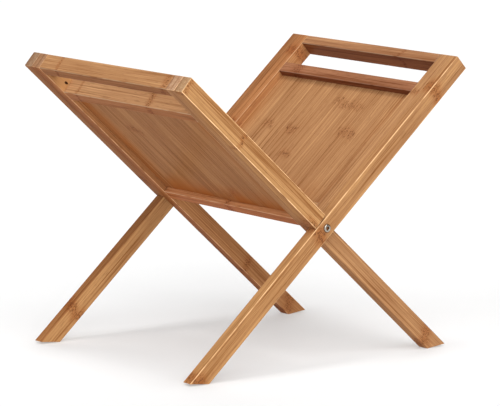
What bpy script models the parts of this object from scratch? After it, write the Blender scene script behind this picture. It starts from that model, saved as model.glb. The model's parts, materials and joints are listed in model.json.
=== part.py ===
"""A bamboo stand that holds a photo album open: two frames crossed like an X on one pair of pivot bolts.

Frame coordinates: X runs up along the legs from the pivot, Y is the stand's own width, and Z is the frame's
depth. Each frame hangs on an empty at the pivot, so its pieces are placed flat and the empty leans them.
The outer frame has its long legs outside, the inner frame has them inside. Above the crossing each leg is
made up to the full stile thickness by a short board, and the square lower end of that board is the shoulder
that stops the stand from opening further.
"""

import math
from collections import namedtuple

import bmesh
import bpy
from mathutils import Vector

# Overall sizes
OVERALL_WIDTH = 0.310
OPENING_ANGLE = math.radians(96.5)
LEG_ABOVE_PIVOT = 0.266
LEG_BELOW_PIVOT = 0.230

# Legs and stiles
FRAME_DEPTH = 0.0202
OUTER_LEG_THICKNESS = 0.0136
INNER_LEG_THICKNESS = 0.0154
FOOT_CUT_ANGLE = math.radians(48)
EDGE_RADIUS = 0.0010

# Rails and panel
TOP_RAIL_HEIGHT = 0.0134
HANDLE_SLOT_HEIGHT = 0.0328
MIDDLE_RAIL_HEIGHT = 0.0148
BOTTOM_RAIL_HEIGHT = 0.0138
PANEL_THICKNESS = 0.0052
PANEL_SETBACK = 0.0081
PANEL_TONGUE = 0.0050

# Dowels, two in each rail end
DOWEL_DIAMETER = 0.0050
DOWEL_SPACING = 0.0090
DOWEL_IN_RAIL = 0.0130
DOWEL_IN_STILE = 0.0100
DOWEL_CHAMFER = 0.0006

# Pivot hardware
BOLT_DIAMETER = 0.0060
BOLT_HEAD_DIAMETER = 0.0090
BOLT_HEAD_HEIGHT = 0.0014
BOLT_HEAD_RIM = 0.0005
BOLT_HEAD_FLAT = 0.0062
BOLT_TIP_CHAMFER = 0.0007
SOCKET_ACROSS_FLATS = 0.0040
SOCKET_DEPTH = 0.0021
WASHER_DIAMETER = 0.0130
WASHER_THICKNESS = 0.0006
INSERT_DIAMETER = 0.0090
INSERT_LENGTH = 0.0120

# Clearances
JOINT_GAP = 0.0003
STOP_GAP = 0.0003
CUTTER_MARGIN = 0.0050

# Roundness
ROUND_STEPS = 32
DOWEL_STEPS = 16
DOME_STEPS = 6
EDGE_STEPS = 2
MERGE = 0.00001
HEX_SIDES = 6
PARALLEL = 0.99

# Worked out from the sizes above
HALF_WIDTH = OVERALL_WIDTH / 2
HALF_DEPTH = FRAME_DEPTH / 2
LEG_ANGLE = (math.pi - OPENING_ANGLE) / 2
PIVOT_HEIGHT = LEG_BELOW_PIVOT * math.sin(LEG_ANGLE) + HALF_DEPTH * math.cos(LEG_ANGLE)
LEG_GAP = WASHER_THICKNESS + 2 * JOINT_GAP
STILE_THICKNESS = OUTER_LEG_THICKNESS + LEG_GAP + INNER_LEG_THICKNESS
HALF_OPENING = math.tan(OPENING_ANGLE / 2)
SHOULDER = HALF_DEPTH * max(HALF_OPENING, 1 / HALF_OPENING) + STOP_GAP / math.sin(OPENING_ANGLE)
RAIL_LENGTH = OVERALL_WIDTH - 2 * (STILE_THICKNESS + JOINT_GAP)
TOP_RAIL_LOW = LEG_ABOVE_PIVOT - TOP_RAIL_HEIGHT
MIDDLE_RAIL_HIGH = TOP_RAIL_LOW - HANDLE_SLOT_HEIGHT
MIDDLE_RAIL_LOW = MIDDLE_RAIL_HIGH - MIDDLE_RAIL_HEIGHT
BOTTOM_RAIL_HIGH = SHOULDER + BOTTOM_RAIL_HEIGHT
PANEL_CENTRE = HALF_DEPTH - PANEL_SETBACK - PANEL_THICKNESS / 2
HOLE_RADIUS = DOWEL_DIAMETER / 2 + JOINT_GAP
SHANK_HOLE_RADIUS = BOLT_DIAMETER / 2 + JOINT_GAP
INSERT_FACE = OUTER_LEG_THICKNESS + LEG_GAP
BOLT_LENGTH = INSERT_FACE + INSERT_LENGTH - JOINT_GAP
SIDES = {"front": -1, "back": 1}
ALONG, ACROSS, DEPTH = 0, 1, 2

# inward is +1 where the frame's +Z looks at the other panel, and -1 where it looks away from it
Frame = namedtuple("Frame", "name empty inward pieces cutters")
Rail = namedtuple("Rail", "name low high dowel_height")


def clear_scene():
    for thing in list(bpy.data.objects):
        bpy.data.objects.remove(thing)


def new_collection(name):
    collection = bpy.data.collections.new(name)
    bpy.context.scene.collection.children.link(collection)
    return collection


def new_material(name, colour, roughness, metallic=0.0):
    material = bpy.data.materials.new(name)
    material.use_nodes = True
    shader = material.node_tree.nodes["Principled BSDF"]
    shader.inputs["Base Color"].default_value = (*colour, 1.0)
    shader.inputs["Roughness"].default_value = roughness
    shader.inputs["Metallic"].default_value = metallic
    return material


def add_object(frame, collection, name, mesh):
    thing = bpy.data.objects.new(name, mesh)
    collection.objects.link(thing)
    thing.parent = frame.empty
    return thing


def mark_cutter(thing):
    thing.hide_render = True
    thing.display_type = "WIRE"


def fill_mesh(name, bm):
    bmesh.ops.recalc_face_normals(bm, faces=bm.faces)
    mesh = bpy.data.meshes.new(name)
    bm.to_mesh(mesh)
    bm.free()
    return mesh


def block(low, high):
    """A box between two corners, as a bmesh."""
    bm = bmesh.new()
    bmesh.ops.create_cube(bm, size=1.0)
    bmesh.ops.scale(bm, vec=high - low, verts=bm.verts)
    bmesh.ops.translate(bm, vec=(low + high) / 2, verts=bm.verts)
    return bm


def ease_edges(bm, direction, side=0):
    """Rounds the edges that run along one direction, on one side of the board or on both."""
    middle = sum((vert.co for vert in bm.verts), Vector()) / len(bm.verts)
    chosen = []
    for edge in bm.edges:
        run = edge.verts[1].co - edge.verts[0].co
        centre = (edge.verts[0].co + edge.verts[1].co) / 2 - middle
        if abs(run[direction]) > PARALLEL * run.length and centre[ACROSS] * side >= 0:
            chosen.append(edge)
    bmesh.ops.bevel(bm, geom=chosen, offset=EDGE_RADIUS, segments=EDGE_STEPS, profile=0.5, affect="EDGES")


def cut_foot(bm, frame):
    """Takes off the leg's lower end along the foot cut, which starts at the heel on the outward face."""
    heel = Vector((-LEG_BELOW_PIVOT, 0, -frame.inward * HALF_DEPTH))
    outward = Vector((-math.sin(FOOT_CUT_ANGLE), 0, -frame.inward * math.cos(FOOT_CUT_ANGLE)))
    everything = [*bm.verts, *bm.edges, *bm.faces]
    bmesh.ops.bisect_plane(bm, geom=everything, plane_co=heel, plane_no=outward, clear_outer=True)
    bmesh.ops.holes_fill(bm, edges=bm.edges)


def cut_by(thing, cutters):
    boolean = thing.modifiers.new("holes_and_grooves", "BOOLEAN")
    boolean.operation = "DIFFERENCE"
    boolean.operand_type = "COLLECTION"
    boolean.collection = cutters
    boolean.solver = "EXACT"


def add_board(frame, name, bm, material):
    board = add_object(frame, frame.pieces, name, fill_mesh(name, bm))
    board.data.materials.append(material)
    cut_by(board, frame.cutters)
    return board


def layer(side, from_outside, to_outside):
    """The low and high Y of a board that lies between two distances in from the stand's outer face."""
    ends = sorted(side * (HALF_WIDTH - distance) for distance in (from_outside, to_outside))
    return ends[0], ends[1]


def add_leg(frame, name, side, near, far, material):
    """A long leg, eased along the face that no other board is glued to."""
    low_y, high_y = layer(side, near, far)
    foot_length = FRAME_DEPTH / math.tan(FOOT_CUT_ANGLE) + CUTTER_MARGIN
    low = Vector((-LEG_BELOW_PIVOT - foot_length, low_y, -HALF_DEPTH))
    bm = block(low, Vector((LEG_ABOVE_PIVOT, high_y, HALF_DEPTH)))
    ease_edges(bm, ALONG, side if near == 0 else -side)
    cut_foot(bm, frame)
    return add_board(frame, name, bm, material)


def add_stile_board(frame, name, side, near, far, material):
    """The short board above the crossing that makes the leg up to the full stile thickness."""
    low_y, high_y = layer(side, near, far)
    bm = block(Vector((SHOULDER, low_y, -HALF_DEPTH)), Vector((LEG_ABOVE_PIVOT, high_y, HALF_DEPTH)))
    ease_edges(bm, ALONG, side if near == 0 else -side)
    return add_board(frame, name, bm, material)


def rails():
    """Each rail's lower and upper edge, and the height of its dowels, which clear the panel's groove."""
    middle_dowels = MIDDLE_RAIL_HIGH - (MIDDLE_RAIL_HEIGHT - PANEL_TONGUE) / 2
    bottom_dowels = SHOULDER + (BOTTOM_RAIL_HEIGHT - PANEL_TONGUE) / 2
    return [
        Rail("top", TOP_RAIL_LOW, LEG_ABOVE_PIVOT, TOP_RAIL_LOW + TOP_RAIL_HEIGHT / 2),
        Rail("middle", MIDDLE_RAIL_LOW, MIDDLE_RAIL_HIGH, middle_dowels),
        Rail("bottom", SHOULDER, BOTTOM_RAIL_HIGH, bottom_dowels),
    ]


def add_rail(frame, rail, material):
    bm = block(
        Vector((rail.low, -RAIL_LENGTH / 2, -HALF_DEPTH)),
        Vector((rail.high, RAIL_LENGTH / 2, HALF_DEPTH)),
    )
    ease_edges(bm, ACROSS)
    return add_board(frame, f"{frame.name}_{rail.name}_rail", bm, material)


def panel_block(frame, margin):
    """The panel's box, grown by a margin on every side."""
    half_width = HALF_WIDTH - STILE_THICKNESS + PANEL_TONGUE - JOINT_GAP + margin
    reach = PANEL_TONGUE - JOINT_GAP + margin
    centre = frame.inward * PANEL_CENTRE
    half = PANEL_THICKNESS / 2 + margin
    return block(
        Vector((BOTTOM_RAIL_HIGH - reach, -half_width, centre - half)),
        Vector((MIDDLE_RAIL_LOW + reach, half_width, centre + half)),
    )


def add_panel(frame, material):
    name = f"{frame.name}_panel"
    panel = add_object(frame, frame.pieces, name, fill_mesh(name, panel_block(frame, 0.0)))
    panel.data.materials.append(material)
    groove = f"{name}_groove"
    mark_cutter(add_object(frame, frame.cutters, groove, fill_mesh(groove, panel_block(frame, JOINT_GAP))))
    return panel


def turned(frame, collection, name, profile, steps, closed=False):
    """A round piece: a profile of (radius, height) points, read down its outer side, spun about its own Z."""
    count = len(profile)
    edges = [(i, (i + 1) % count) for i in range(count if closed else count - 1)]
    mesh = bpy.data.meshes.new(name)
    mesh.from_pydata([(radius, 0, height) for radius, height in profile], edges, [])
    piece = add_object(frame, collection, name, mesh)
    spin = piece.modifiers.new("spin", "SCREW")
    spin.axis = "Z"
    spin.steps = spin.render_steps = steps
    spin.use_merge_vertices = True
    spin.merge_threshold = MERGE
    spin.use_smooth_shade = True
    return piece


def rod_profile(radius, length, chamfer):
    half = length / 2
    return [
        (0, half),
        (radius - chamfer, half),
        (radius, half - chamfer),
        (radius, chamfer - half),
        (radius - chamfer, -half),
        (0, -half),
    ]


def hole_profile(radius, length):
    half = length / 2
    return [(0, half), (radius, half), (radius, -half), (0, -half)]


def ring_profile(bore, radius, length):
    half = length / 2
    return [(radius, half), (radius, -half), (bore, -half), (bore, half)]


def lay_across(piece, side, along, y, depth=0.0):
    """Turns a round piece's own +Z outwards along the stand's width, and puts its centre in place."""
    piece.rotation_euler = (-side * math.pi / 2, 0, 0)
    piece.location = (along, y, depth)


def add_dowels(frame, rail, material):
    """Two dowels in each end of a rail, and the holes that the rail and the stile have for them."""
    length = DOWEL_IN_RAIL + DOWEL_IN_STILE
    centre = HALF_WIDTH - STILE_THICKNESS + (DOWEL_IN_STILE - DOWEL_IN_RAIL) / 2
    peg = rod_profile(DOWEL_DIAMETER / 2, length, DOWEL_CHAMFER)
    hole = hole_profile(HOLE_RADIUS, length + 2 * JOINT_GAP)
    for end, side in SIDES.items():
        for number, depth in enumerate((-DOWEL_SPACING / 2, DOWEL_SPACING / 2), start=1):
            name = f"{frame.name}_{rail.name}_dowel_{end}_{number}"
            dowel = turned(frame, frame.pieces, name, peg, DOWEL_STEPS)
            dowel.data.materials.append(material)
            lay_across(dowel, side, rail.dowel_height, side * centre, depth)
            cutter = turned(frame, frame.cutters, f"{name}_hole", hole, DOWEL_STEPS)
            lay_across(cutter, side, rail.dowel_height, side * centre, depth)
            mark_cutter(cutter)


def bolt_profile():
    """A low-headed bolt, its head's seat at height 0 and its shank running down."""
    radius, flat = BOLT_HEAD_DIAMETER / 2, BOLT_HEAD_FLAT / 2
    shank, tip = BOLT_DIAMETER / 2, BOLT_DIAMETER / 2 - BOLT_TIP_CHAMFER
    dome = BOLT_HEAD_HEIGHT - BOLT_HEAD_RIM
    profile = [(0, BOLT_HEAD_HEIGHT)]
    for step in range(DOME_STEPS + 1):
        turn = math.pi / 2 * step / DOME_STEPS
        profile.append((flat + (radius - flat) * math.sin(turn), BOLT_HEAD_RIM + dome * math.cos(turn)))
    profile += [(radius, 0), (shank, 0), (shank, BOLT_TIP_CHAMFER - BOLT_LENGTH), (tip, -BOLT_LENGTH)]
    return [*profile, (0, -BOLT_LENGTH)]


def add_bolt(inner, end, side, material):
    name = f"pivot_bolt_{end}"
    bolt = turned(inner, inner.pieces, name, bolt_profile(), ROUND_STEPS)
    bolt.data.materials.append(material)
    seat = side * (HALF_WIDTH + JOINT_GAP)
    lay_across(bolt, side, 0, seat)
    corner_radius = SOCKET_ACROSS_FLATS / 2 / math.cos(math.pi / HEX_SIDES)
    hexagon = hole_profile(corner_radius, 2 * SOCKET_DEPTH)
    tool = turned(inner, inner.cutters, f"{name}_socket", hexagon, HEX_SIDES)
    lay_across(tool, side, 0, seat + side * BOLT_HEAD_HEIGHT)
    mark_cutter(tool)
    socket = bolt.modifiers.new("socket", "BOOLEAN")
    socket.object = tool
    socket.solver = "EXACT"


def add_pivot(outer, inner, end, side, materials):
    """One side's bolt, spacer washer and threaded insert, and the leg holes that take them."""
    add_bolt(inner, end, side, materials["chrome"])
    washer = turned(
        inner, inner.pieces, f"pivot_washer_{end}",
        ring_profile(SHANK_HOLE_RADIUS, WASHER_DIAMETER / 2, WASHER_THICKNESS), ROUND_STEPS, True,
    )
    washer.data.materials.append(materials["zinc"])
    lay_across(washer, side, 0, side * (HALF_WIDTH - OUTER_LEG_THICKNESS - LEG_GAP / 2))
    insert_y = side * (HALF_WIDTH - INSERT_FACE - INSERT_LENGTH / 2)
    insert = turned(
        inner, inner.pieces, f"threaded_insert_{end}",
        ring_profile(SHANK_HOLE_RADIUS, INSERT_DIAMETER / 2, INSERT_LENGTH), ROUND_STEPS, True,
    )
    insert.data.materials.append(materials["brass"])
    lay_across(insert, side, 0, insert_y)
    shank_hole = turned(
        outer, outer.cutters, f"shank_hole_{end}",
        hole_profile(SHANK_HOLE_RADIUS, OUTER_LEG_THICKNESS + 2 * CUTTER_MARGIN), ROUND_STEPS,
    )
    lay_across(shank_hole, side, 0, side * (HALF_WIDTH - OUTER_LEG_THICKNESS / 2))
    mark_cutter(shank_hole)
    # The insert's hole is blind: it starts outside the leg and ends just past the insert.
    pocket = turned(
        inner, inner.cutters, f"insert_hole_{end}",
        hole_profile(INSERT_DIAMETER / 2 + JOINT_GAP, INSERT_LENGTH + 2 * JOINT_GAP), ROUND_STEPS,
    )
    lay_across(pocket, side, 0, insert_y)
    mark_cutter(pocket)


def add_frame(name, lean, inward):
    empty = bpy.data.objects.new(f"{name}_pivot", None)
    bpy.context.scene.collection.objects.link(empty)
    empty.location = (0, 0, PIVOT_HEIGHT)
    empty.rotation_euler = (0, lean, 0)
    cutters = new_collection(f"{name}_cutters")
    return Frame(name, empty, inward, bpy.data.collections["photo_album_stand"], cutters)


def add_rails_and_panel(frame, materials):
    for rail in rails():
        add_rail(frame, rail, materials["rail"])
        add_dowels(frame, rail, materials["dowel"])
    add_panel(frame, materials["panel"])


def make_materials():
    return {
        "leg": new_material("bamboo_leg", (0.52, 0.27, 0.10), 0.38),
        "stile": new_material("bamboo_stile_board", (0.50, 0.25, 0.09), 0.38),
        "rail": new_material("bamboo_rail", (0.47, 0.23, 0.09), 0.38),
        "panel": new_material("bamboo_panel", (0.46, 0.24, 0.10), 0.42),
        "dowel": new_material("beech_dowel", (0.62, 0.44, 0.26), 0.60),
        "chrome": new_material("chrome_steel", (0.78, 0.78, 0.78), 0.12, 1.0),
        "zinc": new_material("zinc_steel", (0.66, 0.67, 0.68), 0.32, 1.0),
        "brass": new_material("brass", (0.78, 0.60, 0.28), 0.30, 1.0),
    }


def main():
    clear_scene()
    new_collection("photo_album_stand")
    materials = make_materials()
    outer = add_frame("outer_frame", -LEG_ANGLE, 1)
    inner = add_frame("inner_frame", math.pi + LEG_ANGLE, -1)
    inner_layer = INSERT_FACE, STILE_THICKNESS
    for end, side in SIDES.items():
        add_leg(outer, f"outer_leg_{end}", side, 0, OUTER_LEG_THICKNESS, materials["leg"])
        add_leg(inner, f"inner_leg_{end}", side, *inner_layer, materials["leg"])
        add_stile_board(
            outer, f"lining_stile_{end}", side, OUTER_LEG_THICKNESS + JOINT_GAP, STILE_THICKNESS,
            materials["stile"],
        )
        add_stile_board(
            inner, f"facing_stile_{end}", side, 0, INSERT_FACE - JOINT_GAP, materials["stile"]
        )
        add_pivot(outer, inner, end, side, materials)
    add_rails_and_panel(outer, materials)
    add_rails_and_panel(inner, materials)


main()
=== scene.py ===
# %% [markdown]
# # A bamboo stand for a photo album
# Two frames of laminated bamboo cross like a folding stool. Each frame has long legs, three rails and
# a thin panel, and the album lies in the V above the crossing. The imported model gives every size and
# place, so this lesson only adds the surfaces, the finish, the light and the camera.
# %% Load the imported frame
import json
import math

import bpy
import numpy as np
from mathutils import Matrix, Vector

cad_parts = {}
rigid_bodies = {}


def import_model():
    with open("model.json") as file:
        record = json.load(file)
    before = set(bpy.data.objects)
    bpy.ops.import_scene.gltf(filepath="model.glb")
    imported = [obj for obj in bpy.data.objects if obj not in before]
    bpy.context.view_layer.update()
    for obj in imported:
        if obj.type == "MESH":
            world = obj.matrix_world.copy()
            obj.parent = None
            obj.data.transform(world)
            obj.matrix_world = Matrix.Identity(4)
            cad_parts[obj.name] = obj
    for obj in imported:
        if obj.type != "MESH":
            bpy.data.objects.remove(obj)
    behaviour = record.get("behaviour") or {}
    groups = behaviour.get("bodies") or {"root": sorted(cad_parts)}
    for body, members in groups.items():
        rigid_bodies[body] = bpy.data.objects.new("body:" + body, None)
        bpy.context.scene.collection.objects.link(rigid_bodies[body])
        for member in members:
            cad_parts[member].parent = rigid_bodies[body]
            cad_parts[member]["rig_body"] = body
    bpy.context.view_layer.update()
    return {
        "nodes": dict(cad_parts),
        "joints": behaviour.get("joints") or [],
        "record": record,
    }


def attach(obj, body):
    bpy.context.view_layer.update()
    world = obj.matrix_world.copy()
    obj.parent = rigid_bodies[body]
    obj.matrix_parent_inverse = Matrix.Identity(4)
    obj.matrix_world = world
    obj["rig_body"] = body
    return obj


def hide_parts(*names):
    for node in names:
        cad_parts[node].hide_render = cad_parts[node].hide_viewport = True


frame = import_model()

scene = bpy.context.scene

# %% [markdown]
# ## The camera
# A long lens far away keeps the legs nearly parallel. It could be aimed with a Track To constraint, but
# a constraint can't hold the small tilt of a hand-held camera, so the three axes are worked out here.
# %% Camera
camera_place = Vector((-2.3605, -3.0988, 0.7725))
camera_aim = Vector((-0.1202, -0.1680, 0.2019))
camera_tilt = math.radians(0.43)
SENSOR_MM, LENS_MM = 36, 242.4

forward = (camera_aim - camera_place).normalized()
right = forward.cross(Vector((0, 0, 1))).normalized()
up = right.cross(forward)
right, up = (right * math.cos(camera_tilt) + up * math.sin(camera_tilt),
             up * math.cos(camera_tilt) - right * math.sin(camera_tilt))
camera = bpy.data.objects.new("camera", bpy.data.cameras.new("camera"))
scene.collection.objects.link(camera)
camera.data.sensor_width = SENSOR_MM
camera.data.lens = LENS_MM
turn = Matrix((right, up, -forward)).transposed()
camera.matrix_world = Matrix.Translation(camera_place) @ turn.to_4x4()
scene.camera = camera
print("camera", round((camera_aim - camera_place).length, 2), "m away")

# %% [markdown]
# ## Helpers for shader nodes
# A finish is a small network of nodes. Adding each by hand takes five lines, so short helpers do it: add
# puts in a node and wires its inputs, ease squeezes a value smoothly from one range into another, and
# the others are names for the few kinds of node that every finish here uses.
# %% Node helpers
def add(tree, kind, inputs=(), **settings):
    """One node in the tree. Settings are set on it, and each input gets a value or another output."""
    node = tree.nodes.new("ShaderNode" + kind)
    for name, value in settings.items():
        setattr(node, name, value)
    for name, value in dict(inputs).items():
        if isinstance(value, bpy.types.NodeSocket):
            tree.links.new(value, node.inputs[name])
        else:
            node.inputs[name].default_value = value
    return node


def calc(tree, operation, a, b=0.0):
    """a and b put through one arithmetic step."""
    return add(tree, "Math", {0: a, 1: b}, operation=operation).outputs[0]


def ease(tree, value, start, end, low=0.0, high=1.0):
    """Goes smoothly from low to high while value goes from start to end, and stays there outside."""
    inputs = {"Value": value, "From Min": start, "From Max": end, "To Min": low, "To Max": high}
    return add(tree, "MapRange", inputs, interpolation_type="SMOOTHSTEP").outputs[0]


def stretch(tree, vector, scale, shift=(0, 0, 0)):
    """vector times scale, plus shift, axis by axis."""
    inputs = {0: vector, 1: scale, 2: shift}
    return add(tree, "VectorMath", inputs, operation="MULTIPLY_ADD").outputs[0]


def noise(tree, vector, detail=2.0, roughness=0.5):
    """Cloudy noise from 0 to 1, one cloud to each unit of vector."""
    inputs = {"Vector": vector, "Scale": 1.0, "Detail": detail, "Roughness": roughness}
    return add(tree, "TexNoise", inputs).outputs["Fac"]


def tint(tree, factor, colour, other, blend="MIX"):
    """colour with other laid over it, by factor. A Mix node keeps its colour sockets at 6 and 7."""
    node = add(tree, "Mix", data_type="RGBA", blend_type=blend)
    for socket, value in ((0, factor), (6, colour), (7, other)):
        if isinstance(value, bpy.types.NodeSocket):
            tree.links.new(value, node.inputs[socket])
        else:
            node.inputs[socket].default_value = value if socket == 0 else (*value, 1)
    return node.outputs[2]


def new_finish(name):
    """An empty material with a Principled shader: (material, tree, shader)."""
    material = bpy.data.materials.new(name)
    material.use_nodes = True
    tree = material.node_tree
    return material, tree, tree.nodes["Principled BSDF"]


# %% [markdown]
# ## Floor, sky and lamps
# The stand is on a plain pale floor that glows a little, as paper over a light table does, so that the
# undersides aren't black. One lamp straight above puts the shadow between the feet. Two broad lamps in
# front, one high and one low, light the narrow sides, and weaker ones at the left and behind light the
# rest. Lamps of the SUN kind shine evenly from far away, which suits a small thing in a big studio.
# The sky gives hardly any light, but where it is seen past the floor it is white, like a studio wall.
# %% Floor
floor_half = 12.0
FLOOR_CORNERS = np.array([(-1, -1, 0), (1, -1, 0), (1, 1, 0), (-1, 1, 0)]) * floor_half
floor_mesh = bpy.data.meshes.new("floor")
floor_mesh.from_pydata(FLOOR_CORNERS.tolist(), [], [(0, 1, 2, 3)])
floor = bpy.data.objects.new("floor", floor_mesh)
scene.collection.objects.link(floor)

floor_paper, tree, shader = new_finish("floor_paper")
place = add(tree, "TexCoord").outputs["Object"]
mottle = noise(tree, stretch(tree, place, (9, 9, 9)))
paper = tint(tree, mottle, (0.50, 0.50, 0.50), (0.52, 0.52, 0.52))
tree.links.new(paper, shader.inputs["Base Color"])
shader.inputs["Roughness"].default_value = 0.9
shader.inputs["Specular IOR Level"].default_value = 0.1
shader.inputs["Emission Color"].default_value = (1, 1, 1, 1)
shader.inputs["Emission Strength"].default_value = 0.34
floor_mesh.materials.append(floor_paper)
print("floor", 2 * floor_half, "m square")

# %% Sky and lamps
world = bpy.data.worlds.new("white_sky")
scene.world = world
world.use_nodes = True
dim_sky = world.node_tree.nodes["Background"]
dim_sky.inputs["Color"].default_value = (1, 1, 1, 1)
dim_sky.inputs["Strength"].default_value = 0.06
white_wall = add(world.node_tree, "Background", {"Color": (1, 1, 1, 1), "Strength": 1.0})
seen = add(world.node_tree, "LightPath").outputs["Is Camera Ray"]
either = add(world.node_tree, "MixShader", {0: seen, 1: dim_sky.outputs[0], 2: white_wall.outputs[0]})
world.node_tree.links.new(either.outputs[0], world.node_tree.nodes["World Output"].inputs["Surface"])
scene.view_settings.view_transform = "Standard"


def soft_lamp(name, towards, brightness, width):
    """A lamp far away in that direction. brightness is what it adds to a white card that faces it, and
    width, in degrees, is how wide it looks from the stand: the wider, the softer its shadows."""
    lamp = bpy.data.objects.new(name, bpy.data.lights.new(name, "SUN"))
    lamp.data.energy, lamp.data.angle = brightness * math.pi, math.radians(width)
    lamp.rotation_euler = Vector(towards).to_track_quat("Z", "Y").to_euler()
    scene.collection.objects.link(lamp)


soft_lamp("lamp_above", (0.0, 0.0, 1.0), 0.36, 14)
soft_lamp("lamp_high_in_front", (-0.24, -0.59, 0.77), 0.62, 50)
soft_lamp("lamp_low_in_front", (-0.37, -0.91, 0.17), 0.72, 60)
soft_lamp("lamp_at_the_left", (-0.87, 0.0, 0.50), 0.27, 30)
soft_lamp("lamp_behind", (0.58, 0.76, 0.28), 0.55, 60)

# %% [markdown]
# ## Along, across, through
# Each frame leans, so its pieces are easier to make in the frame's own directions: up along the legs
# from the pivot, across the stand, and through the thickness towards the album. The two faces that the
# album rests on say how far each frame leans, so nothing about the lean is typed in here.
# %% Frame directions
pivot = np.array(frame["joints"][0]["pos_m"], float)
mounts = {m["name"]: np.array(m["axis"], float) for m in frame["record"]["mounts"]}
across_stand = np.array((0.0, 1.0, 0.0))
axes = {}
for body in ("outer_frame", "inner_frame"):
    inward = mounts["album_rest_" + body]
    uphill = np.cross(across_stand, inward)
    uphill *= np.sign(uphill[2])
    axes[body] = np.array((uphill, across_stand, inward))


def body_name(node):
    return frame["nodes"][node]["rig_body"]


def frame_points(node):
    """The points of a solid in its frame's own directions, as rows of (up the leg, across, through)."""
    mesh = frame["nodes"][node].data
    flat = np.empty(len(mesh.vertices) * 3, np.float32)
    mesh.vertices.foreach_get("co", flat)
    return (flat.reshape(-1, 3) - pivot) @ axes[body_name(node)].T


lean = math.degrees(math.atan2(*axes["outer_frame"][0][[2, 0]]))
print("the legs lean", round(lean, 2), "degrees")

# %% [markdown]
# ## One board
# Every board is the same kind of surface: a rectangle with rounded corners, carried along the grain.
# At each end the rectangle draws in on a quarter circle, which eases the end edges as sandpaper does.
# A cube with a Bevel would look alike, but it keeps no record of where the grain runs. Here each point
# stores its place along, across and through the board, and how pale its edge is, partly from wear and
# partly as a painted highlight, for the finish.
# %% Board surface
# The edge values below are partly wear and partly a painted highlight along rounded edges and ends.
FULL_WEAR_AND_HIGHLIGHT_RADIUS = 0.001
SMALLEST_RADIUS = 2e-5
END_WEAR_AND_HIGHLIGHT = 0.6
STEEP = 0.6


def quarter(steps):
    """Angles of a quarter circle."""
    return np.linspace(0, math.pi / 2, steps)


def section(low, high, radii, inset, steps=5):
    """Rounded rectangle, anticlockwise: at each corner, centre + radius * (cos, sin) for a quarter turn.
    inset draws the whole outline in. Returns the points and how far round its corner each one is."""
    points, wear_and_highlight = [], []
    half, centre = (high - low) / 2, (high + low) / 2
    for corner, radius in enumerate(radii):
        angle = quarter(steps) + corner * math.pi / 2
        middle_angle = math.pi / 4 + corner * math.pi / 2
        sign = np.sign((math.cos(middle_angle), math.sin(middle_angle)))
        left = max(radius - inset, SMALLEST_RADIUS)
        hub = centre + sign * (half - inset - left)
        points.append(hub + left * np.column_stack((np.cos(angle), np.sin(angle))))
        wear_and_highlight.append(np.sin(2 * quarter(steps)) * min(radius / FULL_WEAR_AND_HIGHLIGHT_RADIUS, 1))
    return np.concatenate(points), np.concatenate(wear_and_highlight)


def stations(end_radius, steps=4, between=9):
    """Places along a board: (share of the length, shift in metres, inset). Each end turns through a
    quarter circle: shift = r - r cos, inset = r - r sin."""
    angle = quarter(steps)
    shift, inset = end_radius * (1 - np.cos(angle)), end_radius * (1 - np.sin(angle))
    # The last column is the edge value at the ends: partly wear, partly painted highlight.
    wear_and_highlight = END_WEAR_AND_HIGHLIGHT * np.sin(2 * angle)
    low = np.column_stack((0 * angle, shift, inset, wear_and_highlight))
    high = np.column_stack((0 * angle + 1, -shift, inset, wear_and_highlight))[::-1]
    share = np.linspace(0, 1, between + 2)[1:-1]
    between_rows = np.column_stack((share, 0 * share, 0 * share, 0 * share))
    return np.concatenate((low, between_rows, high))


def write_mesh(name, points, faces, body):
    """A new object with its place in its mesh, from points in the body's own directions."""
    mesh = bpy.data.meshes.new(name)
    mesh.from_pydata((points @ axes[body] + pivot).tolist(), [], faces)
    mesh.update()
    piece = bpy.data.objects.new(name, mesh)
    scene.collection.objects.link(piece)
    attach(piece, body)
    return piece


def rings_to_faces(rings, around, flip):
    """Four-sided faces between neighbouring rings, and one flat face over each end."""
    i, j = np.meshgrid(np.arange(rings - 1), np.arange(around), indexing="ij")
    next_j = (j + 1) % around
    this_ring, next_ring = i * around, (i + 1) * around
    quads = np.stack((this_ring + j, this_ring + next_j, next_ring + next_j, next_ring + j), -1)
    first = np.arange(around)[::-1]
    last = np.arange(around) + (rings - 1) * around
    faces = quads.reshape(-1, 4).tolist() + [first.tolist(), last.tolist()]
    return [face[::-1] for face in faces] if flip else faces


def store(mesh, name, kind, domain, values):
    """Values kept in the mesh under a name, one for each point or face, for a finish to read."""
    mesh.attributes.new(name, kind, domain).data.foreach_set(
        "vector" if kind == "FLOAT_VECTOR" else "value", np.asarray(values, np.float32).ravel())


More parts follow.
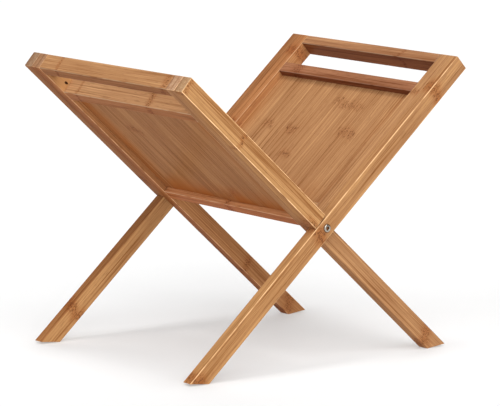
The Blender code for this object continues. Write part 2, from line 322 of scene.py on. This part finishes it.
def board(node, order, radii, end_radius, ends=None):
    """The board that stands for a solid. order says which frame direction is along, across and through.
    ends gives (low, slope low, high, slope high) where an end is cut at an angle: along = low + slope *
    through. A point is (along, section point), with along = low + share * (high - low) + shift. The edge
    value, partly wear and partly painted highlight, fades on the long edges as the outline draws in, so
    that none of it spreads over a cut end."""
    body = body_name(node)
    points = frame_points(node)[:, order]
    low, high = points.min(0), points.max(0)
    start, start_slope, stop, stop_slope = ends or (low[0], 0, high[0], 0)
    rows, wear_and_highlight_rows = [], []
    for share, shift, inset, end_wear_and_highlight in stations(end_radius):
        outline, wear_and_highlight = section(low[1:], high[1:], radii, inset)
        begin = start + start_slope * outline[:, 1]
        finish_at = stop + stop_slope * outline[:, 1]
        along = begin + share * (finish_at - begin) + shift
        rows.append(np.column_stack((along, outline)))
        wear_and_highlight_rows.append(np.maximum(wear_and_highlight * (1 - inset / end_radius), end_wear_and_highlight))
    grain = np.concatenate(rows)
    placed = np.empty_like(grain)
    placed[:, order] = grain
    right_handed = np.linalg.det(axes[body]) * np.linalg.det(np.eye(3)[list(order)]) > 0
    faces = rings_to_faces(len(rows), len(rows[0]), not right_handed)
    piece = write_mesh("board_" + node, placed, faces, body)
    mesh = piece.data
    store(mesh, "grain", "FLOAT_VECTOR", "POINT", grain)
    store(mesh, "wear_and_highlight", "FLOAT", "POINT", np.concatenate(wear_and_highlight_rows))
    normals = np.array([face.normal for face in mesh.polygons])
    along_axis = axes[body][order[0]]
    store(mesh, "end_grain", "FLOAT", "FACE", np.abs(normals @ along_axis) > STEEP)
    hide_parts(node)
    return piece


# %% [markdown]
# ## Bamboo
# Laminated bamboo is glued up from strips of cane. Five things make it look like bamboo and not like
# wood: each strip has its own tone, the fibres are fine straight lines with short dark dashes, scaly
# bands cross a strip where the cane had a knuckle, cut ends show dots, and each strip is darker towards
# the skin of the cane. A picture of bamboo would repeat and slide, so the pattern is worked out from
# the grain places that every board stores.
# %% Knuckle band
def make_knuckle_group():
    """Zone is a soft patch round a knuckle, and Mark the scaly ridge in it. Size is the half size along,
    across and through, and Jump shifts the knuckle along, differently on each strip."""
    group = bpy.data.node_groups.new("knuckle", "ShaderNodeTree")
    for name in ("Grain", "Centre", "Size"):
        group.interface.new_socket(name, in_out="INPUT", socket_type="NodeSocketVector")
    group.interface.new_socket("Jump", in_out="INPUT", socket_type="NodeSocketFloat")
    for name in ("Zone", "Mark"):
        group.interface.new_socket(name, in_out="OUTPUT", socket_type="NodeSocketFloat")
    given = group.nodes.new("NodeGroupInput").outputs
    gap = {0: given["Grain"], 1: given["Centre"]}
    away = add(group, "VectorMath", gap, operation="SUBTRACT").outputs[0]
    away = add(group, "VectorMath", {0: away, 1: given["Size"]}, operation="DIVIDE").outputs[0]
    part = add(group, "SeparateXYZ", {0: away}).outputs
    wander = calc(group, "SUBTRACT", noise(group, stretch(group, given["Grain"], (30, 160, 160))), 0.5)
    along = calc(group, "ADD", part[0], calc(group, "MULTIPLY", wander, 2.0))
    along = calc(group, "ABSOLUTE", calc(group, "ADD", along, given["Jump"]))
    specks = noise(group, stretch(group, given["Grain"], (330, 720, 720)), 3, 0.7)
    scales = ease(group, specks, 0.49, 0.60)
    side = calc(group, "ADD", calc(group, "ABSOLUTE", part[1]), wander)
    inside = calc(group, "MULTIPLY", ease(group, side, 0.55, 1.15, 1.0, 0.0),
                  ease(group, calc(group, "ABSOLUTE", part[2]), 0.90, 1.10, 1.0, 0.0))
    zone = calc(group, "MULTIPLY", ease(group, along, 0.0, 2.0, 1.0, 0.0), inside)
    ridge = calc(group, "MULTIPLY", ease(group, along, 0.4, 1.3, 1.0, 0.0), inside)
    ends = group.nodes.new("NodeGroupOutput").inputs
    group.links.new(zone, ends["Zone"])
    group.links.new(calc(group, "MULTIPLY", ridge, scales), ends["Mark"])
    return group


knuckle_group = make_knuckle_group()
print("knuckle group with", len(knuckle_group.nodes), "nodes")

# %% Tones and glue lines
KNUCKLE_BROWN = (0.120, 0.040, 0.016)
# This brown is also used for the painted contact shadow round the bolt head.
PITH_AND_SHADOW_BROWN = (0.110, 0.038, 0.016)
MM = 0.001
GLUE_LINE = 0.0004


def scaled(tone, red, green, blue):
    """A tone with its red, green and blue each made lighter or darker."""
    return min(1.0, tone[0] * red), min(1.0, tone[1] * green), min(1.0, tone[2] * blue)


def glue_line(tree, count, strips, width):
    """1 where the strip count is close to a whole number, but 0 at the two faces of the board."""
    off_middle = calc(tree, "ABSOLUTE", calc(tree, "SUBTRACT", calc(tree, "FRACT", count), 0.5))
    from_face = calc(tree, "MINIMUM", count, calc(tree, "SUBTRACT", strips, count))
    line = GLUE_LINE * strips / width
    inside = ease(tree, from_face, 0.3, 0.5)
    return calc(tree, "MULTIPLY", ease(tree, off_middle, 0.5 - line, 0.5), inside)


def grain_reach(piece):
    """Lowest and highest grain place of a board: along, across and through."""
    values = np.empty(len(piece.data.vertices) * 3, np.float32)
    piece.data.attributes["grain"].data.foreach_get("vector", values)
    places = values.reshape(-1, 3)
    return places.min(0).tolist(), places.max(0).tolist()


def strip_count(tree, value, low, high, strips):
    """Which strip a point is in, counted from the low side of the board, with its place in the strip.
    A hair is left at both sides, so that no face lies exactly on a whole number."""
    hair = 0.001
    inputs = {"Value": value, "From Min": low, "From Max": high, "To Min": hair, "To Max": strips - hair}
    return add(tree, "MapRange", inputs).outputs[0]


# %% [markdown]
# Fibres come from noise that is drawn out along the grain. Five layers of it, from hairs to clouds, and
# the tone of each strip are added up round one half, so that a board keeps its tone whatever the
# contrast: less than a half goes towards a redder brown, more than a half towards straw.
# %% Fibres
def fibres(tree, moved, strip_tone, contrast):
    """(streak from 0 to 1 round a half, fine noise, cloud noise) for a board."""
    streak = calc(tree, "MULTIPLY", calc(tree, "SUBTRACT", strip_tone, 0.5), 0.22 * contrast)
    fine = noise(tree, stretch(tree, moved, (6, 620, 620)), 2, 0.6)
    middling = noise(tree, stretch(tree, moved, (4, 260, 260)), 2, 0.6)
    coarse = noise(tree, stretch(tree, moved, (3, 95, 95)), 2)
    hair = noise(tree, stretch(tree, moved, (14, 1150, 1150)), 1)
    cloud = noise(tree, stretch(tree, moved, (13, 40, 40)), 2)
    for layer, amount in ((fine, 1.3), (middling, 0.55), (coarse, 0.35), (hair, 1.2), (cloud, 0.3)):
        part = calc(tree, "MULTIPLY", calc(tree, "SUBTRACT", layer, 0.5), amount * contrast)
        streak = calc(tree, "ADD", streak, part)
    return calc(tree, "ADD", streak, 0.5), fine, cloud


# %% [markdown]
# Marks lie over the fibres: knuckles, painted warm bounce light along the recesses, a painted contact
# shadow round the bolt head, and a pale knot. Each is a soft mask worked out from the distance to its place.
# %% Marks
def add_knuckles(tree, colour, grain, jump, tone, knuckles, redness):
    """Knuckles are (centre, half size) pairs in mm. Returns the colour and the ridge mask."""
    zone = mark = None
    for centre, size in knuckles:
        node = add(tree, "Group", node_tree=knuckle_group)
        tree.links.new(grain, node.inputs["Grain"])
        tree.links.new(jump, node.inputs["Jump"])
        node.inputs["Centre"].default_value = [c * MM for c in centre]
        node.inputs["Size"].default_value = [c * MM for c in size]
        new_zone, new_mark = node.outputs["Zone"], node.outputs["Mark"]
        zone = new_zone if zone is None else calc(tree, "MAXIMUM", zone, new_zone)
        mark = new_mark if mark is None else calc(tree, "MAXIMUM", mark, new_mark)
    if zone is None:
        return colour, None
    colour = tint(tree, calc(tree, "MULTIPLY", zone, redness), colour, scaled(tone, 0.80, 0.52, 0.36))
    return tint(tree, calc(tree, "MULTIPLY", mark, 0.80), colour, KNUCKLE_BROWN), mark


def add_painted_warm_bounce(tree, colour, place, low, high, cloud, tone, amount):
    """Painted warm bounce light: a redder orange along both sides and the foot of a panel, as light bouncing
    in its recess gives.
    """
    side = ease(tree, calc(tree, "ABSOLUTE", place[1]), high[1] - 0.040, high[1] - 0.006)
    foot = ease(tree, place[0], low[0] + 0.050, low[0] + 0.006)
    patchy = ease(tree, cloud, 0.35, 0.6, 0.4 * amount, amount)
    rim = calc(tree, "MULTIPLY", calc(tree, "MAXIMUM", side, foot), patchy)
    return tint(tree, rim, colour, scaled(tone, 1.02, 0.66, 0.34))


def add_painted_contact_shadow(tree, colour, grain):
    """Painted contact shadow: a dark ring round the bolt head."""
    flat = stretch(tree, grain, (1, 0, 1))
    far = add(tree, "VectorMath", {0: flat}, operation="LENGTH").outputs["Value"]
    return tint(tree, ease(tree, far, 0.0058, 0.0047, 0.0, 0.7), colour, PITH_AND_SHADOW_BROWN)


def add_knot(tree, colour, grain, tone, knot):
    """A pale knot with a small dark heart, drawn out along the grain."""
    heart = [c * MM for c in knot]
    gap = add(tree, "VectorMath", {0: grain, 1: heart}, operation="SUBTRACT").outputs[0]
    oval = stretch(tree, gap, (0.7, 1, 1))
    far = add(tree, "VectorMath", {0: oval}, operation="LENGTH").outputs["Value"]
    ragged = noise(tree, stretch(tree, grain, (300, 500, 500)))
    far = calc(tree, "ADD", far, calc(tree, "MULTIPLY", calc(tree, "SUBTRACT", ragged, 0.5), 0.003))
    colour = tint(tree, ease(tree, far, 0.017, 0.008, 0.0, 0.7), colour, scaled(tone, 1.6, 1.85, 1.9))
    return tint(tree, ease(tree, far, 0.0021, 0.0012), colour, scaled(PITH_AND_SHADOW_BROWN, 0.4, 0.4, 0.4))


# %% [markdown]
# A cut end shows the fibre bundles as dots, and darkens towards the skin of the cane. Along the edges,
# where hands have rubbed the lacquer thin, the bamboo is paler; this paler edge is also a painted
# highlight where the rounded edges catch the lamps.
# %% Cut ends, and worn edges with painted highlights
def add_cut_end(tree, colour, grain, count, tone, lightness):
    """colour, but on cut ends the paler, greyer end grain with its dots and dark skin side."""
    dots = add(tree, "TexVoronoi", {"Vector": stretch(tree, grain, (1, 850, 850)), "Scale": 1.0})
    dots = ease(tree, dots.outputs["Distance"], 0.15, 0.45, 0.75, 0.0)
    skin = ease(tree, calc(tree, "FRACT", count[0]), 0.45, 1.0, 0.0, 0.6)
    mottle = noise(tree, stretch(tree, grain, (1, 260, 260)), 2)
    pale = scaled(tone, 1.0 * lightness, 1.22 * lightness, 1.65 * lightness)
    end_colour = tint(tree, dots, pale, scaled(pale, 0.50, 0.42, 0.38))
    stain = ease(tree, mottle, 0.4, 0.65, 0.0, 0.5)
    end_colour = tint(tree, stain, end_colour, scaled(pale, 0.70, 0.52, 0.42))
    end_colour = tint(tree, skin, end_colour, scaled(pale, 0.50, 0.38, 0.32))
    on_end = add(tree, "Attribute", attribute_name="end_grain").outputs["Fac"]
    return tint(tree, on_end, colour, end_colour)


def add_worn_and_highlit_edges(tree, colour, moved, tone, lightness):
    """colour, but patchily paler along the edges where the board says so: partly wear, partly painted
    highlight.
    """
    wear_and_highlight = add(tree, "Attribute", attribute_name="wear_and_highlight").outputs["Fac"]
    patchy = ease(tree, noise(tree, stretch(tree, moved, (45, 200, 200))), 0.3, 0.6, 0.35, 1.0)
    wear_and_highlight = ease(tree, calc(tree, "MULTIPLY", wear_and_highlight, patchy), 0.15, 0.85)
    return tint(tree, wear_and_highlight, colour, scaled(tone, 1.70 * lightness, 2.10 * lightness, 2.7 * lightness))


# %% [markdown]
# One function puts it together for a board. The lacquer is only a thin satin coat: a stronger one would
# turn the undersides, seen at a low slant, grey with the reflection of the floor.
# %% Bamboo finish
def bamboo(piece, tone, top_tone=None, strips=(2, 2), knuckles=(), seed=0.0, contrast=1.0, redness=0.4,
           painted_warm_bounce=0.0, painted_shade_faces=(), painted_contact_shadow=False, knot=None, end_light=1.0, edge_light=1.0):
    """tone runs into top_tone along the board, and strips is how many strips make up its width and
    thickness. Each (grain axis, side, amount) in the list of shaded faces darkens that face as painted
    shade. end_light and edge_light make cut ends, and the edges with wear and painted highlight, paler or
    darker than they come by themselves."""
    material, tree, shader = new_finish(piece.name.replace("board", "bamboo"))
    low, high = grain_reach(piece)
    grain = add(tree, "Attribute", attribute_name="grain").outputs["Vector"]
    moved = stretch(tree, grain, (1, 1, 1), (0.37 * seed, 0.11 * seed, 0.0))
    place = add(tree, "SeparateXYZ", {0: grain}).outputs
    count = [strip_count(tree, place[i + 1], low[i + 1], high[i + 1], strips[i]) for i in (0, 1)]
    whole = [calc(tree, "FLOOR", c) for c in count]
    cell = add(tree, "CombineXYZ", {0: whole[0], 1: whole[1], 2: seed}).outputs[0]
    chance = add(tree, "TexWhiteNoise", {"Vector": cell}).outputs
    streak, fine, cloud = fibres(tree, moved, chance["Value"], contrast)

    colour = tint(tree, ease(tree, place[0], low[0], high[0]), tone, top_tone or tone)
    colour = tint(tree, ease(tree, streak, 0.5, 0.0), colour, scaled(tone, 0.58, 0.44, 0.34))
    colour = tint(tree, ease(tree, streak, 0.5, 1.0), colour, scaled(tone, 1.38, 1.50, 1.55))
    dash = noise(tree, stretch(tree, moved, (70, 760, 760)), 1)
    colour = tint(tree, ease(tree, dash, 0.60, 0.72, 0.0, 0.28 * contrast), colour, PITH_AND_SHADOW_BROWN)
    lines = [glue_line(tree, count[i], strips[i], high[i + 1] - low[i + 1]) for i in (0, 1)]
    glue = calc(tree, "MULTIPLY", calc(tree, "MAXIMUM", *lines), ease(tree, cloud, 0.35, 0.60, 0.08, 0.45))
    colour = tint(tree, glue, colour, PITH_AND_SHADOW_BROWN)

    jump = calc(tree, "MULTIPLY", calc(tree, "SUBTRACT", chance["Value"], 0.5), 1.6)
    colour, mark = add_knuckles(tree, colour, grain, jump, tone, knuckles, redness)
    # Painted warm bounce light in the panel recesses.
    if painted_warm_bounce:
        colour = add_painted_warm_bounce(tree, colour, place, low, high, cloud, tone, painted_warm_bounce)
    # Painted contact shadow round the bolt head.
    if painted_contact_shadow:
        colour = add_painted_contact_shadow(tree, colour, grain)
    if knot is not None:
        colour = add_knot(tree, colour, grain, tone, knot)
    # Painted shade: the listed faces are darkened for the shade they lie in.
    for axis, side, amount in painted_shade_faces:
        rim = high[axis] if side > 0 else low[axis]
        face = ease(tree, place[axis], rim - 0.0012 * side, rim - 0.0002 * side, 0.0, amount)
        colour = tint(tree, face, colour, (0.62, 0.42, 0.32), "MULTIPLY")
    colour = add_cut_end(tree, colour, grain, count, tone, end_light)
    # Paler edges: partly wear, partly painted highlight.
    colour = add_worn_and_highlit_edges(tree, colour, moved, tone, edge_light)

    tree.links.new(colour, shader.inputs["Base Color"])
    tree.links.new(ease(tree, fine, 0.3, 0.7, 0.38, 0.55), shader.inputs["Roughness"])
    shader.inputs["Specular IOR Level"].default_value = 0.005
    shader.inputs["Coat Weight"].default_value = 0.05
    shader.inputs["Coat Roughness"].default_value = 0.3
    height = calc(tree, "ADD", fine, calc(tree, "MULTIPLY", glue, -1.5))
    if mark is not None:
        height = calc(tree, "ADD", height, calc(tree, "MULTIPLY", mark, -1.0))
    bump = add(tree, "Bump", {"Height": height, "Distance": 0.0001, "Strength": 0.35})
    tree.links.new(bump.outputs[0], shader.inputs["Normal"])
    piece.data.materials.append(material)


# %% [markdown]
# ## Legs and stiles
# A leg runs the whole length of its frame, and its foot is sawn off at an angle. A shorter board glued
# to it makes the upper half twice as wide. The slope of the foot is found from the solid: the lowest
# point of each face gives the line of the cut.
# %% Legs and stiles
ALONG_LEG, ALONG_RAIL = (0, 1, 2), (1, 0, 2)
STRAW, HONEY, CARAMEL = (0.440, 0.225, 0.090), (0.405, 0.202, 0.080), (0.375, 0.187, 0.082)
AMBER, TOAST, RUSSET = (0.385, 0.172, 0.068), (0.330, 0.155, 0.072), (0.275, 0.114, 0.055)
BISCUIT, COPPER, NUT = (0.450, 0.232, 0.108), (0.540, 0.240, 0.105), (0.318, 0.140, 0.055)


def foot_cut(node):
    """(low, slope low, high, slope high) of a leg, from the lowest points of its two faces."""
    points = frame_points(node)
    half = points[:, 2].max()
    heel = points[points[:, 2] < -half + 1e-5, 0].min()
    toe = points[points[:, 2] > half - 1e-5, 0].min()
    return (heel + toe) / 2, (toe - heel) / (2 * half), points[:, 0].max(), 0.0


EDGE, JOINT_EDGE, SAWN_EDGE = 0.0011, 0.0003, 0.0008
WIDE = (8, 30, 30)
LEG_LOOKS = {
    "outer_leg_front": dict(
        tone=HONEY, top_tone=CARAMEL, strips=(1, 3), painted_contact_shadow=True, redness=0.65,
        knuckles=[((215, -148, 0), WIDE), ((-13, -148, 0), WIDE), ((-240, -148, 6), WIDE)]),
    "inner_leg_front": dict(
        tone=CARAMEL, strips=(2, 2), edge_light=1.35, painted_shade_faces=[(2, -1, 0.3)], end_light=1.2, redness=0.55,
        knuckles=[((-217, -133, 4), WIDE), ((14, -133, -4), (12, 30, 30))]),
    "lining_stile_front": dict(tone=CARAMEL, strips=(2, 1), knuckles=[((208, -133, 8), (5, 9, 9))]),
    "facing_stile_front": dict(
        tone=STRAW, strips=(1, 4), edge_light=1.35, painted_shade_faces=[(2, -1, 0.35)], end_light=0.95,
        knuckles=[((163, -148, 0), (3, 30, 30)), ((262, -148, 0), (3, 30, 30)),
                  ((22, -148, -9), (9, 30, 6))]),
    "outer_leg_back": dict(
        tone=STRAW, top_tone=CARAMEL, strips=(2, 3), painted_contact_shadow=True, redness=0.6, painted_shade_faces=[(2, 1, 0.6)],
        knuckles=[((-193, 148, 4), WIDE), ((60, 148, 0), WIDE)]),
    "inner_leg_back": dict(
        tone=AMBER, strips=(2, 2), painted_shade_faces=[(2, -1, 0.75)], end_light=0.87, knot=(223.5, 124.9, 0.5),
        knuckles=[((-133, 133, 0), (5, 30, 30)), ((-218, 133, 4), WIDE)]),
    "lining_stile_back": dict(
        tone=AMBER, strips=(2, 1), redness=0.6, painted_shade_faces=[(2, 1, 0.35)], edge_light=0.7,
        knuckles=[((246, 133, 0), (7, 30, 30)), ((120, 133, 8), (6, 9, 9))]),
    "facing_stile_back": dict(
        tone=CARAMEL, strips=(1, 3), painted_shade_faces=[(2, -1, 0.65)], end_light=0.80,
        knuckles=[((40, 148, 0), WIDE)]),
}
for number, (node, look) in enumerate(LEG_LOOKS.items()):
    glued = node.startswith(("inner_leg", "lining"))
    outer, inner = (JOINT_EDGE, EDGE) if glued else (EDGE, JOINT_EDGE)
    plus, minus = (outer, inner) if node.endswith("back") else (inner, outer)
    ends = foot_cut(node) if "leg" in node else None
    piece = board(node, ALONG_LEG, (plus, minus, minus, plus), SAWN_EDGE, ends)
    bamboo(piece, seed=float(number), **look)
    print(piece.name, len(piece.data.polygons), "faces")

# %% [markdown]
# ## Rails
# A rail is the same board turned: its grain runs across the stand.
# %% Rails
THIN, MIDDLING = (2.5, 30, 30), (5, 30, 30)
RAIL_LOOKS = {
    "outer_frame_top_rail": dict(
        tone=TOAST, painted_shade_faces=[(1, -1, 0.95)], knuckles=[((-60, 262, 0), THIN)]),
    "outer_frame_middle_rail": dict(
        tone=RUSSET, strips=(1, 1), contrast=1.3, painted_shade_faces=[(1, -1, 0.7)],
        knuckles=[((98, 212, 0), (9, 30, 30))]),
    "outer_frame_bottom_rail": dict(tone=CARAMEL, knuckles=[((50, 18, 0), THIN)]),
    "inner_frame_top_rail": dict(
        tone=CARAMEL, painted_shade_faces=[(2, -1, 0.75)], knuckles=[((92, 262, 0), THIN), ((-116, 262, 0), MIDDLING)]),
    "inner_frame_middle_rail": dict(
        tone=BISCUIT, painted_shade_faces=[(2, -1, 0.9)], knuckles=[((102, 212, 0), THIN), ((-38, 212, 0), MIDDLING)]),
    "inner_frame_bottom_rail": dict(
        tone=COPPER, strips=(2, 2), painted_shade_faces=[(2, -1, 0.8)], knuckles=[((0, 18, -8), (6, 30, 30))]),
}
for number, (node, look) in enumerate(RAIL_LOOKS.items()):
    piece = board(node, ALONG_RAIL, (EDGE,) * 4, JOINT_EDGE)
    bamboo(piece, seed=20.0 + number, **{"strips": (2, 3), "edge_light": 0.62, **look})
    print(piece.name, len(piece.data.polygons), "faces")

# %% [markdown]
# ## Panels
# A panel is thin strips laid side by side, let into grooves in the rails and stiles. Its knuckles show
# as scaly patches that run over two or three strips.
# %% Panels
PATCH, SMALL_PATCH = (8, 20, 9), (6, 13, 9)
PANEL_LOOKS = {
    "outer_frame_panel": dict(
        tone=CARAMEL, painted_warm_bounce=0.25, redness=0.2,
        knuckles=[((182, -22, 0), PATCH), ((136, -66, 0), PATCH), ((176, -46, 0), SMALL_PATCH),
                  ((128, 78, 0), SMALL_PATCH), ((125, 33, 0), SMALL_PATCH), ((88, 8, 0), SMALL_PATCH)]),
    "inner_frame_panel": dict(
        tone=NUT, painted_warm_bounce=0.85, redness=0.3,
        knuckles=[((43, -16, 0), PATCH), ((150, 60, 0), SMALL_PATCH)]),
}
for number, (node, look) in enumerate(PANEL_LOOKS.items()):
    piece = board(node, ALONG_LEG, (JOINT_EDGE,) * 4, JOINT_EDGE)
    bamboo(piece, seed=31.0 + number, strips=(14, 1), **look)
    print(piece.name, len(piece.data.polygons), "faces")

# %% [markdown]
# ## Pivot bolts
# A bolt with a low domed head and a six-sided socket holds each pair of legs. All of it is one lathe
# surface: a profile turned about the pivot, from the bottom of the socket over the head and down the
# shank. Inside the socket the radius follows a hexagon instead of a circle, so no Boolean is needed.
# %% Pivot bolts
SOCKET_FLAT, SOCKET_DEPTH = 0.0020, 0.0021
HEAD_SHARE = 0.8
NEAR_TIP = 0.002


def inside_out(mesh):
    """True if the volume, the sum of centre . normal * area / 3 over the faces, comes out negative."""
    return sum(face.center.dot(face.normal) * face.area for face in mesh.polygons) < 0


def bolt(node, turns=72):
    """Radius and depth below the head's face are a profile; a point is (radius cos, depth, radius sin).
    In the socket, radius = flat distance / cos(angle from the middle of the nearest flat)."""
    points = frame_points(node)
    radial = np.hypot(points[:, 0], points[:, 2])
    outwards = np.sign(points[:, 1].mean())
    depth = outwards * points[:, 1]
    face, tip, head = depth.max(), depth.min(), radial.max()
    seat = depth[radial > HEAD_SHARE * head].min()
    shank = radial[depth < tip + NEAR_TIP].max()
    flat, deep, thick = SOCKET_FLAT, SOCKET_DEPTH, face - seat
    profile = np.array([
        (0, deep + 0.0004), (0.0012, deep + 0.0002), (flat, deep), (flat, 0.0003), (flat + 0.0005, 0.0),
        (head - 0.0013, 0.0), (head - 0.0008, 0.00008), (head - 0.0004, 0.00025), (head - 0.0001, 0.0006),
        (head, 0.0009), (head, thick - 0.0002), (head - 0.0002, thick), (shank + 0.0003, thick),
        (shank, thick + 0.0003), (shank, face - tip - 0.0006), (shank - 0.0006, face - tip), (0, face - tip)])
    angle = np.linspace(0, 2 * math.pi, turns, endpoint=False)
    six = 1 / np.cos((angle + math.pi / 6) % (math.pi / 3) - math.pi / 6)
    radius = profile[1:-1, :1] * np.ones(turns)
    radius[:3] *= six
    level = np.broadcast_to(face - profile[1:-1, 1:], radius.shape)
    rings = np.stack((radius * np.cos(angle), level, radius * np.sin(angle)), -1)
    first, final = [[0, face - profile[0, 1], 0]], [[0, face - profile[-1, 1], 0]]
    grid = np.concatenate((first, rings.reshape(-1, 3), final))
    grid[:, 1] *= outwards
    rows, j = len(profile) - 2, np.arange(turns)
    next_j = (j + 1) % turns
    i = np.arange(rows - 1)[:, None] * turns + 1
    quads = np.stack((i + j, i + next_j, i + turns + next_j, i + turns + j), -1)
    quads = quads.reshape(-1, 4).tolist()
    last = len(grid) - 1
    caps = np.stack((0 * j, next_j + 1, j + 1), -1).tolist()
    caps += np.stack((0 * j + last, last - turns + j, last - turns + next_j), -1).tolist()
    body = body_name(node)
    piece = write_mesh(node.replace("pivot_bolt", "socket_bolt"), grid, quads + caps, body)
    if inside_out(piece.data):
        piece.data.flip_normals()
    piece.data.shade_smooth()
    piece.data.set_sharp_from_angle(angle=math.radians(28))
    shine = np.ones(len(grid))
    shine[:1 + 3 * turns] = 0
    store(piece.data, "open_to_light", "FLOAT", "POINT", shine)
    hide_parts(node)
    return piece


bright_steel, tree, shader = new_finish("bright_steel")
spot = add(tree, "TexCoord").outputs["Object"]
scratches = noise(tree, stretch(tree, spot, (900, 5200, 900)), 3)
shade = noise(tree, stretch(tree, spot, (260, 260, 260)))
steel = tint(tree, shade, (0.50, 0.46, 0.40), (0.36, 0.32, 0.27))
lit = add(tree, "Attribute", attribute_name="open_to_light").outputs["Fac"]
tree.links.new(tint(tree, lit, (0.05, 0.035, 0.022), steel), shader.inputs["Base Color"])
tree.links.new(ease(tree, scratches, 0.3, 0.7, 0.16, 0.34), shader.inputs["Roughness"])
shader.inputs["Metallic"].default_value = 1.0
bump = add(tree, "Bump", {"Height": scratches, "Distance": 0.00002, "Strength": 0.3})
tree.links.new(bump.outputs[0], shader.inputs["Normal"])
for side in ("front", "back"):
    piece = bolt("pivot_bolt_" + side)
    piece.data.materials.append(bright_steel)
    print(piece.name, len(piece.data.polygons), "faces")

# %% [markdown]
# ## Hidden hardware
# Washers, threaded inserts and dowels keep their solids, since their shapes are right. They only get
# finishes: dull zinc, yellow brass and pale beech with short flecks.
# %% Hidden hardware
def metal(name, colour, darker, rough):
    """A metal with a faint cloudy tarnish, and roughness that follows it."""
    material, tree, shader = new_finish(name)
    spot = add(tree, "TexCoord").outputs["Object"]
    tarnish = noise(tree, stretch(tree, spot, (420, 420, 420)), 3)
    tree.links.new(tint(tree, tarnish, colour, darker), shader.inputs["Base Color"])
    tree.links.new(ease(tree, tarnish, 0.3, 0.7, rough, rough + 0.2), shader.inputs["Roughness"])
    shader.inputs["Metallic"].default_value = 1.0
    return material


dull_zinc = metal("dull_zinc", (0.55, 0.56, 0.58), (0.40, 0.41, 0.43), 0.35)
yellow_brass = metal("yellow_brass", (0.72, 0.50, 0.20), (0.50, 0.32, 0.11), 0.28)
pale_beech, tree, shader = new_finish("pale_beech")
spot = add(tree, "TexCoord").outputs["Object"]
flecks = noise(tree, stretch(tree, spot, (700, 90, 700)), 2)
beech = tint(tree, ease(tree, flecks, 0.4, 0.65), (0.60, 0.40, 0.24), (0.42, 0.24, 0.12))
tree.links.new(beech, shader.inputs["Base Color"])
tree.links.new(ease(tree, flecks, 0.3, 0.7, 0.55, 0.75), shader.inputs["Roughness"])
carried_over = 0
for name, solid in frame["nodes"].items():
    for word, finish in (("washer", dull_zinc), ("insert", yellow_brass), ("dowel", pale_beech)):
        if word in name:
            if not solid.material_slots:
                solid.data.materials.append(finish)
            solid.material_slots[0].material = finish
            carried_over += 1
print(carried_over, "solids carried over")
